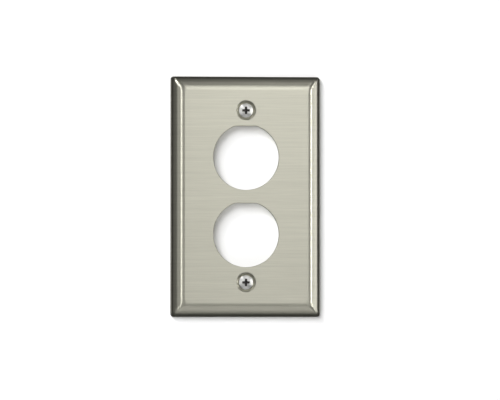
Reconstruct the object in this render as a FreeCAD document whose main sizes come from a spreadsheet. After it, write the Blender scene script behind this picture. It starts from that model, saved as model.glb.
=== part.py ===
"""Wall plate cover: a drawn steel plate with two keyed ports, its rear gasket and two sealed captive screws.

Millimetres. The plate hangs upright as on a wall: +Z is up, its front looks along -Y, and the origin lies on
the wall's surface, midway between the two screws.
"""
import FreeCAD, Part
import math
import os
import Sketcher

Vector = FreeCAD.Vector

DIMENSIONS = {
    # the drawn plate
    "plate_width": 72.8,
    "plate_height": 116.7,
    "plate_depth": 5.6,
    "sheet_thickness": 0.9,
    "wall_draft": 5.0,
    "bevel_width": 5.3,
    "bevel_angle": 21.5,
    "bend_radius": 8.5,
    "edge_radius": 3.0,
    "corner_radius": 1.5,
    "lip_radius": 0.2,
    # the two ports: round, with a flat across the top that keys the connector
    "port_radius": 15.875,
    "port_flat": 15.03,
    "port_upper": 18.95,
    "port_lower": -18.4,
    # the two screw positions and their countersunk dimples
    "screw_spacing": 83.34,
    "dimple_radius": 4.7,
    "dimple_half_angle": 41.0,
    "dimple_land": 0.5,
    "screw_hole_radius": 2.1,
    # the oval-head screws, 6-32 UNC
    "head_radius": 3.5,
    "head_sink": 0.88,
    "head_rise": 0.6,
    "head_band": 0.42,
    "head_cone": 0.4,
    "neck_radius": 1.52,
    "shank_radius": 1.75,
    "screw_length": 22.5,
    "point_chamfer": 0.6,
    "recess_span": 3.9,
    "recess_wing": 1.2,
    "recess_depth": 1.1,
    "recess_taper": 9.0,
    "core_radius": 0.6,
    "core_depth": 1.8,
    # the rubber ring under each head
    "seal_section": 0.48,
    "seal_gap": 0.05,
    # the captive washer behind each dimple
    "retainer_radius": 3.6,
    "retainer_bore": 1.82,
    "retainer_thickness": 0.8,
    "thread_gap": 0.4,
    # the gasket behind the rim
    "gasket_proud": 0.3,
    "gasket_gap": 0.1,
    "gasket_open_width": 54.0,
    "gasket_open_height": 98.0,
    "gasket_open_radius": 3.0,
}

doc = FreeCAD.newDocument("wall_plate_cover")


def make_sheet():
    """One row for each driving dimension: its name, and beside it the value under that alias."""
    cells = doc.addObject("Spreadsheet::Sheet", "dims")
    for row, (name, value) in enumerate(DIMENSIONS.items(), start=1):
        cells.set("A%d" % row, name)
        cells.set("B%d" % row, str(value))
        cells.setAlias("B%d" % row, name)
    doc.recompute()
    return cells


sheet = make_sheet()


def value_of(expression):
    """What an expression over the sheet's cells comes to now."""
    result = sheet.evalExpression(expression)
    return float(getattr(result, "Value", result))


# ---- bodies, sketches and features ----


def new_body(name, y="0", z="0"):
    """A body named as its sub-part, placed at y, z in the cover's frame."""
    body = doc.addObject("PartDesign::Body", name)
    body.Label = name
    body.setExpression("Placement.Base.y", y)
    body.setExpression("Placement.Base.z", z)
    return body


def new_sketch(body, name, role, along_normal="0", up="0"):
    """A sketch on one of the body's origin planes, shifted along its normal and its second axis."""
    sketch = body.newObject("Sketcher::SketchObject", name)
    plane = [feature for feature in body.Origin.OriginFeatures if feature.Role == role][0]
    sketch.AttachmentSupport = [(plane, "")]
    sketch.MapMode = "FlatFace"
    sketch.setExpression("AttachmentOffset.Base.y", up)
    sketch.setExpression("AttachmentOffset.Base.z", along_normal)
    return sketch


def bind(sketch, constraint, expression):
    """Adds a constraint whose size is an expression over the sheet."""
    index = sketch.addConstraint(constraint)
    sketch.setExpression("Constraints[%d]" % index, expression)


def pin_point(sketch, element, end, x, y):
    """Holds the start (1), the end (2) or the centre (3) of a sketch element at x, y."""
    across = Sketcher.Constraint("DistanceX", -1, 1, element, end, value_of(x))
    bind(sketch, across, x)
    upward = Sketcher.Constraint("DistanceY", -1, 1, element, end, value_of(y))
    bind(sketch, upward, y)


def join_ring(sketch, kind, first, count):
    """Joins the end of each of count elements to the start of the next, and the last to the first."""
    for i in range(count):
        following = first + (i + 1) % count
        sketch.addConstraint(Sketcher.Constraint(kind, first + i, 2, following, 1))


def draw_polygon(sketch, corners):
    """A closed outline of straight sides through corners, which are pairs of expressions."""
    points = [Vector(value_of(x), value_of(y), 0) for x, y in corners]
    for i, start in enumerate(points):
        sketch.addGeometry(Part.LineSegment(start, points[(i + 1) % len(points)]), False)
    join_ring(sketch, "Coincident", 0, len(points))
    for i, (x, y) in enumerate(corners):
        pin_point(sketch, i, 1, x, y)


def draw_rounded_rectangle(sketch, half_x, half_y, radius):
    """A rectangle with round corners, centred on the sketch's origin; its sizes are expressions."""
    x, y, r = value_of(half_x), value_of(half_y), value_of(radius)
    first = sketch.GeometryCount
    quadrants = [(1, -1), (1, 1), (-1, 1), (-1, -1)]
    side_ends = [(x, y - r), (-x + r, y), (-x, -y + r), (x - r, -y)]
    for turn, (right, up) in enumerate(quadrants):
        centre = Vector(right * (x - r), up * (y - r), 0)
        start = (turn - 1) * math.pi / 2
        circle = Part.Circle(centre, Vector(0, 0, 1), r)
        arc = Part.ArcOfCircle(circle, start, start + math.pi / 2)
        corner = sketch.addGeometry(arc, False)
        end = Vector(side_ends[turn][0], side_ends[turn][1], 0)
        sketch.addGeometry(Part.LineSegment(arc.EndPoint, end), False)
        centre_x = "%d * (%s - %s)" % (right, half_x, radius)
        centre_y = "%d * (%s - %s)" % (up, half_y, radius)
        pin_point(sketch, corner, 3, centre_x, centre_y)
    join_ring(sketch, "Tangent", first, 8)
    for turn in range(1, 4):
        sketch.addConstraint(Sketcher.Constraint("Equal", first, first + 2 * turn))
    bind(sketch, Sketcher.Constraint("Radius", first, r), radius)


def draw_circle(sketch, x, y, radius):
    """A circle round x, y; its sizes are expressions."""
    centre = Vector(value_of(x), value_of(y), 0)
    circle = sketch.addGeometry(Part.Circle(centre, Vector(0, 0, 1), value_of(radius)), False)
    pin_point(sketch, circle, 3, x, y)
    bind(sketch, Sketcher.Constraint("Radius", circle, value_of(radius)), radius)


def pad_up(body, name, sketch, length, symmetric=False):
    """A Pad of a sketch, along its plane's normal or, if symmetric, half to each side of the plane."""
    pad = body.newObject("PartDesign::Pad", name)
    pad.Profile = sketch
    pad.SideType = "Symmetric" if symmetric else "One side"
    pad.setExpression("Length", length)
    doc.recompute()
    return pad


def cut_through(body, name, sketch):
    """Removes a sketch's outline from the body, through everything on both sides of the sketch's plane."""
    before = body.Shape.Volume
    pocket = body.newObject("PartDesign::Pocket", name)
    pocket.Profile = sketch
    pocket.SideType = "Symmetric"
    pocket.Type = "ThroughAll"
    doc.recompute()
    check_cut(pocket, before)


def check_cut(feature, before):
    """A cut that points away from the solid would leave its volume as it was."""
    if feature.Shape.Volume > before - 0.01:
        raise ValueError("%s removed nothing" % feature.Name)


def revolve(body, name, kind, sketch, axis):
    """A Revolution or a Groove: one full turn of a sketch about one of the sketch's own axes."""
    feature = body.newObject("PartDesign::" + kind, name)
    feature.Profile = sketch
    feature.ReferenceAxis = (sketch, [axis])
    feature.Angle = 360
    doc.recompute()
    return feature


def round_edges(body, name, wanted, radius):
    """A Fillet over the edges of the body for which wanted(edge) holds."""
    base = body.Tip
    edges = ["Edge%d" % (i + 1) for i, edge in enumerate(base.Shape.Edges) if wanted(edge)]
    fillet = body.newObject("PartDesign::Fillet", name)
    fillet.Base = (base, edges)
    fillet.setExpression("Radius", radius)
    doc.recompute()


# ---- the folded pan, whose form the plate, its hollow and the gasket share ----

DRAFT = "tan(dims.wall_draft)"
SLOPE = "tan(dims.bevel_angle)"
HALF_WIDTH = "dims.plate_width / 2"
HALF_HEIGHT = "dims.plate_height / 2"


def pan_profile(half_size, inset, back):
    """Corners of the pan's cross-section, as distance from the middle and height above the rim.

    inset is the distance inside the plate's outer surface, square to each face. back is the height of the
    open side, 0 at the rim.
    """
    wall = "%s / cos(dims.wall_draft)" % inset
    bevel = "%s / cos(dims.bevel_angle)" % inset
    drop = "(dims.bevel_width - %s) * %s" % (wall, SLOPE)
    knee_up = "(dims.plate_depth - %s - %s) / (1 - %s * %s)" % (bevel, drop, DRAFT, SLOPE)
    knee_out = "%s - %s - (%s) * %s" % (half_size, wall, knee_up, DRAFT)
    rim_out = "%s - %s - (%s) * %s" % (half_size, wall, back, DRAFT)
    face_out = "%s - dims.bevel_width - %s * tan(dims.bevel_angle / 2)" % (half_size, inset)
    face_up = "dims.plate_depth - %s" % inset
    right = [(rim_out, back), (knee_out, knee_up), (face_out, face_up)]
    left = [("-(%s)" % out, up) for out, up in reversed(right)]
    return right + left


def folded_bar(name, role, half_size, half_length, inset, back, y="0"):
    """A bar with the pan's cross-section. It runs along Z when drawn on XY_Plane, along X on YZ_Plane."""
    body = new_body(name, y=y)
    sketch = new_sketch(body, name + "_profile", role)
    corners = pan_profile(half_size, inset, back)
    if role == "XY_Plane":
        along = Vector(0, 0, 1)
        draw_polygon(sketch, [(out, "-(%s)" % up) for out, up in corners])
    else:
        along = Vector(1, 0, 0)
        draw_polygon(sketch, [("-(%s)" % up, out) for out, up in corners])
    pad_up(body, name + "_pad", sketch, "2 * %s" % half_length, symmetric=True)
    folds = [("edge", corners[1][1]), ("bend", corners[2][1])]
    for fold, height in folds:
        up = value_of(height)

        def on_fold(edge):
            ends = [vertex.Point for vertex in edge.Vertexes]
            runs_along = abs((ends[-1] - ends[0]).dot(along)) > 1
            return runs_along and all(abs(end.y + up) < 1e-4 for end in ends)

        round_edges(body, "%s_%s" % (name, fold), on_fold, "dims.%s_radius - %s" % (fold, inset))
    return body


def folded_pan(name, inset, back, y="0"):
    """A solid pan with mitred corners: what two folded bars that cross at right angles have in common.

    y places the pan's rim in the cover's frame. A body that joins another's Boolean stays at that body's zero.
    """
    body = folded_bar(name, "XY_Plane", HALF_WIDTH, HALF_HEIGHT, inset, back, y)
    cross = folded_bar(name + "_cross", "YZ_Plane", HALF_HEIGHT, HALF_WIDTH, inset, back)
    mitre = body.newObject("PartDesign::Boolean", name + "_mitre")
    mitre.Type = "Common"
    mitre.addObject(cross)
    doc.recompute()
    trim = new_sketch(body, name + "_corners", "XZ_Plane")
    draw_rounded_rectangle(trim, HALF_WIDTH + " + 5", HALF_HEIGHT + " + 5", "5")
    side, end = ["%s - %s" % (half, inset) for half in (HALF_WIDTH, HALF_HEIGHT)]
    draw_rounded_rectangle(trim, side, end, "(dims.corner_radius - %s)" % inset)
    cut_through(body, name + "_corner_cut", trim)
    return body


# ---- the plate ----

RIM_Y = "-dims.gasket_proud"
FACE_Y = "-dims.plate_depth - dims.gasket_proud"
DIMPLE_SLOPE = "tan(dims.dimple_half_angle)"
DIMPLE_DEPTH = "((dims.dimple_radius - dims.screw_hole_radius) / %s)" % DIMPLE_SLOPE
BOSS_Y = "%s + %s + dims.dimple_land" % (FACE_Y, DIMPLE_DEPTH)


def draw_port(sketch, height):
    """A circle whose top is cut off by a level flat."""
    radius, flat = value_of("dims.port_radius"), value_of("dims.port_flat")
    centre = Vector(0, value_of(height), 0)
    reach = math.asin(flat / radius)
    circle = Part.Circle(centre, Vector(0, 0, 1), radius)
    arc = Part.ArcOfCircle(circle, math.pi - reach, 2 * math.pi + reach)
    rounded = sketch.addGeometry(arc, False)
    level = sketch.addGeometry(Part.LineSegment(arc.EndPoint, arc.StartPoint), False)
    join_ring(sketch, "Coincident", rounded, 2)
    sketch.addConstraint(Sketcher.Constraint("Horizontal", level))
    pin_point(sketch, rounded, 3, "0", height)
    bind(sketch, Sketcher.Constraint("Radius", rounded, radius), "dims.port_radius")
    top = Sketcher.Constraint("DistanceY", -1, 1, level, 1, centre.y + flat)
    bind(sketch, top, "%s + dims.port_flat" % height)


def cone_radius(depth, offset="0"):
    """Radius of the dimple's cone at a depth below the face; offset is measured square to the cone."""
    return "dims.dimple_radius - (%s) * %s + %s / cos(dims.dimple_half_angle)" % (depth, DIMPLE_SLOPE, offset)


def press_dimples(body):
    """A countersunk dimple round each screw hole: the sheet is pressed back into a cone."""
    bottom = "(%s + dims.dimple_land)" % DIMPLE_DEPTH
    root = "(dims.sheet_thickness / 2)"
    boss = new_sketch(body, "dimple_back", "YZ_Plane", up="dims.screw_spacing / 2")
    back_corners = [
        ("-dims.plate_depth + %s" % root, "0"),
        ("-dims.plate_depth + %s" % root, cone_radius(root, "dims.sheet_thickness")),
        ("-dims.plate_depth + %s" % bottom, cone_radius(bottom, "dims.sheet_thickness")),
        ("-dims.plate_depth + %s" % bottom, "0"),
    ]
    draw_polygon(boss, back_corners)
    raised = revolve(body, "dimple_boss", "Revolution", boss, "H_Axis")
    sink = new_sketch(body, "dimple_front", "YZ_Plane", up="dims.screw_spacing / 2")
    front_corners = [
        ("-dims.plate_depth - 1", "0"),
        ("-dims.plate_depth - 1", cone_radius("-1")),
        ("-dims.plate_depth + %s" % DIMPLE_DEPTH, "dims.screw_hole_radius"),
        ("-dims.plate_depth + %s + 1" % bottom, "dims.screw_hole_radius"),
        ("-dims.plate_depth + %s + 1" % bottom, "0"),
    ]
    draw_polygon(sink, front_corners)
    countersink = revolve(body, "dimple_cone", "Groove", sink, "H_Axis")
    check_cut(countersink, raised.Shape.Volume)
    twin = body.newObject("PartDesign::Mirrored", "lower_dimple")
    twin.Originals = [raised, countersink]
    level = [feature for feature in body.Origin.OriginFeatures if feature.Role == "XY_Plane"][0]
    twin.MirrorPlane = (level, [""])
    body.Tip = twin
    doc.recompute()


def make_plate():
    body = folded_pan("face_plate", "0", "0", RIM_Y)
    hollow = folded_pan("hollow", "dims.sheet_thickness", "-1")
    before = body.Shape.Volume
    open_back = body.newObject("PartDesign::Boolean", "open_back")
    open_back.Type = "Cut"
    open_back.addObject(hollow)
    doc.recompute()
    check_cut(open_back, before)
    ports = new_sketch(body, "ports", "XZ_Plane")
    draw_port(ports, "dims.port_upper")
    draw_port(ports, "dims.port_lower")
    cut_through(body, "port_cut", ports)
    press_dimples(body)
    face_y = -value_of("dims.plate_depth")
    border = value_of("dims.bevel_width + dims.bend_radius")
    flat_x = value_of(HALF_WIDTH) - border
    flat_z = value_of(HALF_HEIGHT) - border

    def on_lip(edge):
        on_face = all(abs(vertex.Y - face_y) < 1e-4 for vertex in edge.Vertexes)
        return on_face and abs(edge.CenterOfMass.x) < flat_x and abs(edge.CenterOfMass.z) < flat_z

    before = body.Shape.Volume
    round_edges(body, "front_lips", on_lip, "dims.lip_radius")
    check_cut(body, before)
    return body


# ---- the gasket ----


def make_gasket():
    """A moulded foam ring that fills the pan's margin and stands a little proud of its rim."""
    inset = "(dims.sheet_thickness + dims.gasket_gap)"
    body = folded_pan("rear_gasket", inset, "-dims.gasket_proud", RIM_Y)
    opening = new_sketch(body, "gasket_opening", "XZ_Plane")
    half_x, half_y = "dims.gasket_open_width / 2", "dims.gasket_open_height / 2"
    draw_rounded_rectangle(opening, half_x, half_y, "dims.gasket_open_radius")
    cut_through(body, "gasket_cut", opening)
    return body


# ---- the screws, their seals and their retainers ----

HEAD_Y = "%s + dims.head_sink" % FACE_Y
CROWN_Y = "%s - dims.head_rise" % HEAD_Y
HEAD_BASE_Y = "%s + dims.head_band + dims.head_cone" % HEAD_Y
THREAD_Y = "%s + dims.retainer_thickness + dims.thread_gap" % BOSS_Y
TIP_Y = "%s + dims.screw_length" % HEAD_Y


def draw_screw_half(sketch):
    """Half of the screw's section, radius against depth: domed head, bare neck, then the threaded shank."""
    corners = [
        ("0", CROWN_Y),
        ("dims.head_radius", HEAD_Y),
        ("dims.head_radius", "%s + dims.head_band" % HEAD_Y),
        ("dims.head_radius - dims.head_cone * %s" % DIMPLE_SLOPE, HEAD_BASE_Y),
        ("dims.neck_radius", HEAD_BASE_Y),
        ("dims.neck_radius", THREAD_Y),
        ("dims.shank_radius", "%s + dims.shank_radius - dims.neck_radius" % THREAD_Y),
        ("dims.shank_radius", "%s - dims.point_chamfer" % TIP_Y),
        ("dims.shank_radius - dims.point_chamfer", TIP_Y),
        ("0", TIP_Y),
    ]
    points = [Vector(value_of(x), value_of(y), 0) for x, y in corners]
    crown, shoulder = points[0], points[1]
    rise = shoulder.y - crown.y
    dome_radius = (shoulder.x**2 + rise**2) / (2 * rise)
    centre = Vector(0, crown.y + dome_radius, 0)
    finish = math.atan2(shoulder.y - centre.y, shoulder.x)
    circle = Part.Circle(centre, Vector(0, 0, 1), dome_radius)
    sketch.addGeometry(Part.ArcOfCircle(circle, -math.pi / 2, finish), False)
    for i in range(1, len(points)):
        sketch.addGeometry(Part.LineSegment(points[i], points[(i + 1) % len(points)]), False)
    join_ring(sketch, "Coincident", 0, len(points))
    for i, (x, y) in enumerate(corners):
        pin_point(sketch, i, 1, x, y)
    sketch.addConstraint(Sketcher.Constraint("PointOnObject", 0, 3, -2))


def cut_recess(body, name):
    """The cross recess for the driver, narrowing as it goes in, with a pointed core at its middle."""
    wing, span = "dims.recess_wing / 2", "dims.recess_span / 2"
    sketch = new_sketch(body, name + "_cross", "XZ_Plane", along_normal="-(%s)" % CROWN_Y)
    quarter = [(wing, span), (wing, wing), (span, wing)]
    corners = []
    for turn in range(4):
        for x, y in quarter:
            for _ in range(turn):
                x, y = y, "-(%s)" % x
            corners.append((x, y))
    draw_polygon(sketch, corners)
    before = body.Shape.Volume
    recess = body.newObject("PartDesign::Pocket", name + "_recess")
    recess.Profile = sketch
    recess.setExpression("Length", "dims.recess_depth")
    recess.setExpression("TaperAngle", "-dims.recess_taper")
    doc.recompute()
    check_cut(recess, before)
    core = new_sketch(body, name + "_core", "XY_Plane")
    mouth = "%s + dims.recess_depth / 2" % CROWN_Y
    draw_polygon(core, [("0", mouth), ("dims.core_radius", mouth), ("0", "%s + dims.core_depth" % CROWN_Y)])
    pointed = revolve(body, name + "_core_cone", "Groove", core, "V_Axis")
    check_cut(pointed, recess.Shape.Volume)


def make_screw(end, z):
    name = "screw_" + end
    body = new_body(name, z=z)
    section = new_sketch(body, name + "_section", "XY_Plane")
    draw_screw_half(section)
    revolve(body, name + "_turned", "Revolution", section, "V_Axis")
    cut_recess(body, name)
    return body


def make_seal(end, z):
    """A rubber ring round the neck, held between the head's flat underside and the dimple's cone."""
    name = "seal_" + end
    body = new_body(name, z=z)
    section = new_sketch(body, name + "_section", "XY_Plane")
    ring = "dims.seal_gap + dims.seal_section"
    draw_circle(section, "dims.neck_radius + " + ring, "%s + %s" % (HEAD_BASE_Y, ring), "dims.seal_section")
    revolve(body, name + "_ring", "Revolution", section, "V_Axis")
    return body


def make_retainer(end, z):
    """A fibre washer pushed on to the shank, up against the back of the dimple."""
    name = "retainer_" + end
    body = new_body(name, z=z)
    back = "-(%s + dims.retainer_thickness)" % BOSS_Y
    sketch = new_sketch(body, name + "_outline", "XZ_Plane", along_normal=back)
    draw_circle(sketch, "0", "0", "dims.retainer_radius")
    draw_circle(sketch, "0", "0", "dims.retainer_bore")
    pad_up(body, name + "_disc", sketch, "dims.retainer_thickness")
    return body


# ---- building, checking and writing ----


def build():
    """The sub-parts in the order they go together, back from the plate."""
    parts = [make_plate(), make_gasket()]
    for end, z in [("upper", "dims.screw_spacing / 2"), ("lower", "-dims.screw_spacing / 2")]:
        parts.append(make_screw(end, z))
        parts.append(make_seal(end, z))
        parts.append(make_retainer(end, z))
    doc.recompute()
    return parts


def check(parts):
    """Stops if any feature failed or any sub-part isn't one valid solid."""
    for item in doc.Objects:
        if "Invalid" in item.State or "Error" in item.State:
            raise ValueError("%s is %s" % (item.Name, item.State))
    for part in parts:
        shape = part.Shape
        if shape.isNull() or not shape.isValid() or len(shape.Solids) != 1:
            raise ValueError("%s is not one valid solid" % part.Label)


def write(parts):
    os.makedirs("parts", exist_ok=True)
    for part in parts:
        part.Shape.exportStep("parts/%s.step" % part.Label)
        box = part.Shape.BoundBox
        lows = "%.2f %.2f %.2f" % (box.XMin, box.YMin, box.ZMin)
        highs = "%.2f %.2f %.2f" % (box.XMax, box.YMax, box.ZMax)
        print("%-16s %9.1f mm3  from %s to %s" % (part.Label, part.Shape.Volume, lows, highs))


sub_parts = build()
check(sub_parts)
write(sub_parts)
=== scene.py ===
import bmesh
import bpy
import math
from mathutils import Matrix, Vector


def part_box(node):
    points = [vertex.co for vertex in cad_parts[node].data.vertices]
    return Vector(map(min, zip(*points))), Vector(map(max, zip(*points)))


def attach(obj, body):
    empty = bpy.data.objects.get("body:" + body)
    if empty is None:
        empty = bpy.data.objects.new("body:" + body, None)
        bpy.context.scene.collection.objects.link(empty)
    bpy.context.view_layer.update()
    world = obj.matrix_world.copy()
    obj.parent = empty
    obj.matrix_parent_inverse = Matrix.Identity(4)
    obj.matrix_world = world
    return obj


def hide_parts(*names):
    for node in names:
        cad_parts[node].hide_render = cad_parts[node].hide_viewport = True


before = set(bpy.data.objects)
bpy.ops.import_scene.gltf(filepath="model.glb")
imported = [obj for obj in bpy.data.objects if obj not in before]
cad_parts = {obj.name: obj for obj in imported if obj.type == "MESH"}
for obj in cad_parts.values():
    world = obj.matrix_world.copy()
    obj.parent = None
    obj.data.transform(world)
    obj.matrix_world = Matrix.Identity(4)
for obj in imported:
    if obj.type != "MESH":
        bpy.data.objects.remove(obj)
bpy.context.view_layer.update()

# Blender's starting objects, where it opens with any, aren't part of the scene.
for spare in ("Cube", "Light", "Camera"):
    if spare in bpy.data.objects:
        bpy.data.objects.remove(bpy.data.objects[spare])

MM = 0.001
scene = bpy.context.scene

# ---- Face plate ----
# Stainless sheet 0.9 mm thick, brushed across its width, blanked and pierced with two keyed ports.
# A die then folds its border back twice, into a shallow bevel and a steep wall with mitred corners,
# and presses the two screw dimples in the same stroke.

plate_low, plate_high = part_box("face_plate")
PLATE_HALF_WIDTH = (plate_high.x - plate_low.x) / 2
PLATE_HALF_HEIGHT = (plate_high.z - plate_low.z) / 2
PLATE_DEPTH = plate_high.y - plate_low.y
RIM_Y = plate_high.y
FACE_Y = plate_low.y
SHEET = 0.9 * MM
WALL_ANGLE = math.radians(85)
BEVEL_ANGLE = math.radians(21.5)
BEVEL_WIDTH = 5.3 * MM
EDGE_RADIUS = 3.0 * MM
BEND_RADIUS = 8.5 * MM
CORNER_RADIUS = 1.5 * MM
MITRE_RADIUS = 1.8 * MM
INNER_TIGHTENING = 0.6
LEAST_CORNER = 0.25 * MM
CROWN_RISE = 0.04 * MM
SHEAR_CHAMFER = 0.08 * MM
# SUPPORT is the width of a thin band beside a fold, which keeps the shading of the flat next to it flat.
SUPPORT = 0.08 * MM
EDGE_STEPS, CROWN_STEPS, BEND_STEPS, CORNER_STEPS = 12, 6, 10, 8

SCREW_HEIGHT = 41.67 * MM
PORT_HEIGHTS = (18.95 * MM, -18.4 * MM)
PORT_RADIUS = 15.875 * MM
PORT_FLAT = 15.03 * MM
PORT_CORNER = 0.35 * MM
PORT_CORNER_STEPS, PORT_STEPS = 6, 150
LIP_RADIUS = 0.22 * MM
LIP_STEPS = 5
DIMPLE_RADIUS = 4.7 * MM
DIMPLE_LIP = 0.65 * MM
DIMPLE_LIP_STEPS, DIMPLE_STEPS = 6, 72
CONE_HALF_ANGLE = 41
CONE_SLOPE = math.tan(math.radians(CONE_HALF_ANGLE))
CONE_TOP = 0.6 * MM
SCREW_HOLE = 2.1 * MM
HOLE_ROUNDING = 0.12 * MM
HOLE_BURR = 0.05 * MM
DIMPLE_LAND = 0.5 * MM
BOSS_EDGE = 0.1 * MM
BOSS_FILLET = 0.8 * MM
BOSS_STEPS = 6


def fold_arc(corner, turn_from, turn_to, radius, steps):
    """Points round one fold of the border's section, from a run at turn_from to one at turn_to."""
    reach = radius * math.tan((turn_from - turn_to) / 2)
    start_x = corner[0] - reach * math.cos(turn_from)
    start_y = corner[1] - reach * math.sin(turn_from)
    centre_x = start_x + radius * math.sin(turn_from)
    centre_y = start_y - radius * math.cos(turn_from)
    arc = []
    for i in range(steps + 1):
        turn = turn_from + (turn_to - turn_from) * i / steps
        arc.append((centre_x - radius * math.sin(turn), centre_y + radius * math.cos(turn)))
    return arc


def towards(start, end, distance):
    """The point a distance from start on the way to end."""
    run = math.hypot(end[0] - start[0], end[1] - start[1])
    return (
        start[0] + (end[0] - start[0]) * distance / run,
        start[1] + (end[1] - start[1]) * distance / run,
    )


def border_section(inset, foot):
    """The border's section from its foot to the flat face, for a surface inset into the sheet.

    Each point is (distance in from the rim's outline, height over the rim).
    """
    slope, draft = math.tan(BEVEL_ANGLE), 1 / math.tan(WALL_ANGLE)
    wall = inset / math.sin(WALL_ANGLE)
    bevel = inset / math.cos(BEVEL_ANGLE)
    knee_up = (PLATE_DEPTH - bevel - (BEVEL_WIDTH - wall) * slope) / (1 - draft * slope)
    knee = (wall + knee_up * draft, knee_up)
    face = (BEVEL_WIDTH + inset * math.tan(BEVEL_ANGLE / 2), PLATE_DEPTH - inset)
    edge = fold_arc(knee, WALL_ANGLE, BEVEL_ANGLE, EDGE_RADIUS - inset, EDGE_STEPS)
    bend = fold_arc(face, BEVEL_ANGLE, 0, BEND_RADIUS - inset, BEND_STEPS)
    crown = []
    for i in range(1, CROWN_STEPS):
        share = i / CROWN_STEPS
        rise = CROWN_RISE * 4 * share * (1 - share)
        x = edge[-1][0] + (bend[0][0] - edge[-1][0]) * share - rise * math.sin(BEVEL_ANGLE)
        y = edge[-1][1] + (bend[0][1] - edge[-1][1]) * share + rise * math.cos(BEVEL_ANGLE)
        crown.append((x, y))
    start = [(wall + foot * draft, foot), towards(edge[0], knee, -SUPPORT)]
    return start + edge + crown + bend + [(bend[-1][0] + SUPPORT, bend[-1][1])]


def rounded_loop(mesh, half_x, half_z, radius, y):
    """A ring of vertices round a rectangle with round corners, at depth y."""
    ring = []
    for turn, (right, up) in enumerate([(1, -1), (1, 1), (-1, 1), (-1, -1)]):
        for i in range(CORNER_STEPS + 1):
            angle = math.radians(90 * (turn - 1) + 90 * i / CORNER_STEPS)
            x = right * (half_x - radius) + radius * math.cos(angle)
            z = up * (half_z - radius) + radius * math.sin(angle)
            ring.append(mesh.verts.new((x, y, z)))
    return ring


def circle_loop(mesh, height, radius, y, steps):
    """A ring of vertices round a screw's axis."""
    turns = [math.tau * i / steps for i in range(steps)]
    return [
        mesh.verts.new((radius * math.cos(a), y, height + radius * math.sin(a))) for a in turns
    ]


def port_loop(mesh, height, grow, y):
    """A ring of vertices round a port's outline, grown outwards a little for its lip."""
    lift = PORT_FLAT - PORT_CORNER
    aside = math.sqrt((PORT_RADIUS - PORT_CORNER) ** 2 - lift**2)
    bearing = math.atan2(lift, aside)
    small, large = PORT_CORNER + grow, PORT_RADIUS + grow
    sweep = math.pi + 2 * bearing
    ring = []
    for i in range(PORT_CORNER_STEPS + 1):
        angle = math.pi / 2 + (bearing - math.pi / 2) * i / PORT_CORNER_STEPS
        ring.append((aside + small * math.cos(angle), lift + small * math.sin(angle)))
    for i in range(1, PORT_STEPS):
        angle = bearing - sweep * i / PORT_STEPS
        ring.append((large * math.cos(angle), large * math.sin(angle)))
    for i in range(PORT_CORNER_STEPS + 1):
        angle = math.pi - bearing + (bearing - math.pi / 2) * i / PORT_CORNER_STEPS
        ring.append((-aside + small * math.cos(angle), lift + small * math.sin(angle)))
    return [mesh.verts.new((x, y, height + z)) for x, z in ring]


def skin(mesh, rings):
    """Quads between each ring of vertices and the next."""
    for near, far in zip(rings, rings[1:]):
        for i in range(len(near)):
            j = (i + 1) % len(near)
            mesh.faces.new((near[i], near[j], far[j], far[i]))


def fill_flat(mesh, rings):
    """Triangles over the flat area between an outer ring and the rings inside it."""
    edges = []
    for ring in rings:
        for i, vertex in enumerate(ring):
            edges.append(mesh.edges.get((vertex, ring[(i + 1) % len(ring)])))
    bmesh.ops.triangle_fill(mesh, use_beauty=True, use_dissolve=False, edges=edges)


def finish_mesh(mesh, name, sharp=40):
    """Makes a bmesh an object with outward normals, smooth but for edges past sharp degrees."""
    bmesh.ops.recalc_face_normals(mesh, faces=mesh.faces[:])
    data = bpy.data.meshes.new(name)
    mesh.to_mesh(data)
    mesh.free()
    data.shade_smooth()
    data.set_sharp_from_angle(angle=math.radians(sharp))
    piece = bpy.data.objects.new(name, data)
    scene.collection.objects.link(piece)
    return piece


def map_upright(mesh, per_metre=8):
    """A flat UV map over the whole mesh, u up its height and v across it."""
    layer = mesh.loops.layers.uv.new("upright")
    for face in mesh.faces:
        for loop in face.loops:
            loop[layer].uv = (loop.vert.co.z * per_metre, loop.vert.co.x * per_metre)


def border_rings(mesh, inset, foot):
    """Rings of vertices over one side of the border, from its foot to the flat face.

    The front's corners open from the rim's radius to the mitres', and the back's grow tighter inwards.
    """
    rings = []
    for into, up in border_section(inset, foot):
        if inset == 0:
            corner = CORNER_RADIUS + (MITRE_RADIUS - CORNER_RADIUS) * min(into / EDGE_RADIUS, 1)
        else:
            corner = max(CORNER_RADIUS - inset - into * INNER_TIGHTENING, LEAST_CORNER)
        half_x, half_z = PLATE_HALF_WIDTH - into, PLATE_HALF_HEIGHT - into
        rings.append(rounded_loop(mesh, half_x, half_z, corner, RIM_Y - up))
    return rings


def lip_rings(mesh, ring_at, radius, turn, steps):
    """Rings round a rolled lip that turns down by an angle; ring_at(grow, y) makes one ring."""
    rings = [ring_at(radius * math.tan(turn / 2) + SUPPORT, FACE_Y)]
    reach = radius * math.tan(turn / 2)
    for i in range(steps + 1):
        angle = turn * i / steps
        grow = reach - radius * math.sin(angle)
        rings.append(ring_at(grow, FACE_Y + radius * (1 - math.cos(angle))))
    return rings


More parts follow.
